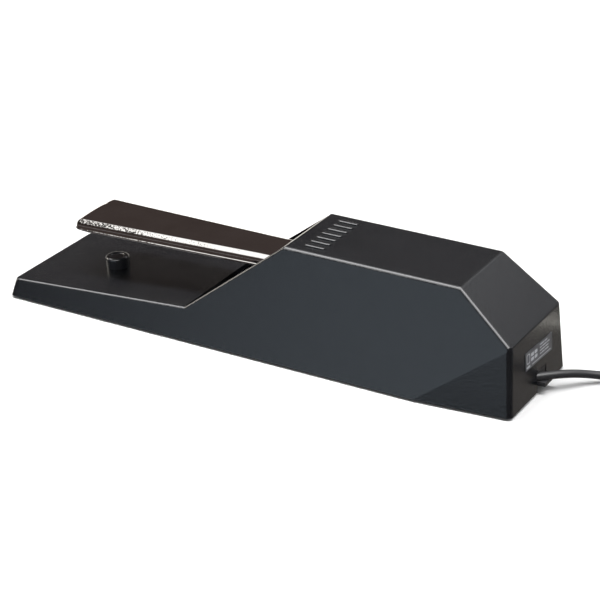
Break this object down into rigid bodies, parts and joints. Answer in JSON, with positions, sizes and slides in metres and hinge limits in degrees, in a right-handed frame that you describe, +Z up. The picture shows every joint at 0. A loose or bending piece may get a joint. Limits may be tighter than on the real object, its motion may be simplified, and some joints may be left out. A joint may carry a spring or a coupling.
{
  "type": "sustain pedal",
  "caption": "Piano-style sustain pedal: polished lever pivoted in a low black housing, with a coiled lead ending in a jack plug.",
  "frame": {"origin": "centre of the housing's footprint, on the floor under the rubber feet", "axes": "+Y from the toe to the back, where the lead leaves; +Z up; +X across, to the right seen from the back looking at the toe is -X"},
  "size_m": [0.1058, 0.3629, 0.0541],
  "materials": {
    "housing_abs": "fine-textured black moulded ABS",
    "plate_steel": "black powder coat",
    "screw_steel": "zinc plated",
    "foot_rubber": "soft rubber",
    "button_rubber": "smooth moulded rubber",
    "label_film": "blank printed film",
    "lever_chrome": "polished chrome plate on pressed steel",
    "nylon_white": "natural nylon",
    "zinc_steel": "zinc-plated sheet and turned steel",
    "spring_steel": "drawn wire",
    "felt": "pressed felt",
    "switch_black": "moulded switch case",
    "switch_red": "moulded button",
    "terminal_brass": "tinned brass",
    "wire_pvc": "thin PVC insulation",
    "cable_pvc": "soft black PVC jacket",
    "relief_rubber": "moulded PVC",
    "tie_strap": "hook and loop strap",
    "plug_black": "moulded plug body",
    "plug_nickel": "nickel plate on brass"
  },
  "bodies": {
    "base": {"housing": "housing_abs", "base_plate": "plate_steel", "base_screws": "screw_steel", "rubber_feet": "foot_rubber", "stop_button": "button_rubber", "rating_label": "label_film", "pivot_axle": "zinc_steel", "axle_clips": "spring_steel", "pivot_bracket": "zinc_steel", "bracket_rivets": "screw_steel", "rest_pad": "felt", "return_spring": "spring_steel", "spring_cup": "nylon_white", "switch_body": "switch_black", "switch_pin": "zinc_steel", "switch_terminals": "terminal_brass", "switch_bracket": "zinc_steel", "switch_bracket_rivets": "screw_steel", "switch_screws": "screw_steel", "switch_nuts": "screw_steel", "strain_relief": "relief_rubber", "cable_inner": "cable_pvc", "cable_clamp": "nylon_white", "clamp_screws": "screw_steel", "switch_leads": "wire_pvc", "cable_lead": "cable_pvc", "cable_tail": "cable_pvc", "cable_coil": "cable_pvc", "coil_tie": "tie_strap", "plug_boot": "plug_black", "plug_handle": "plug_black", "plug_sleeve": "plug_nickel", "plug_insulator": "plug_black", "plug_tip": "plug_nickel"},
    "pedal": {"pedal_lever": "lever_chrome", "pivot_bushes": "nylon_white", "spring_retainer": "nylon_white", "switch_striker": "nylon_white"},
    "switch_lever": {"switch_arm": "zinc_steel"},
    "switch_button": {"switch_plunger": "switch_red"}
  },
  "joints": [
    {"name": "pedal_hinge", "type": "hinge", "parent": "base", "child": "pedal", "pos_m": [0, 0.072, 0.0327], "axis": [1, 0, 0], "range_deg": [0, 7.05], "stiffness_Nm_per_rad": 19, "springref_deg": -6.65, "deforming": ["return_spring"]},
    {"name": "switch_arm_hinge", "type": "hinge", "parent": "base", "child": "switch_lever", "pos_m": [0.009, 0.0484, 0.0315], "axis": [0, -1, 0], "range_deg": [0, 12]},
    {"name": "switch_plunger_slide", "type": "slide", "parent": "base", "child": "switch_button", "axis": [0, 0, -1], "range_m": [0, 0.0012]}
  ],
  "couplings": [
    {"joint": "switch_arm_hinge", "follows": "pedal_hinge", "ratio": 1.5},
    {"joint": "switch_plunger_slide", "follows": "pedal_hinge", "m_per_rad": 0.0081}
  ]
}
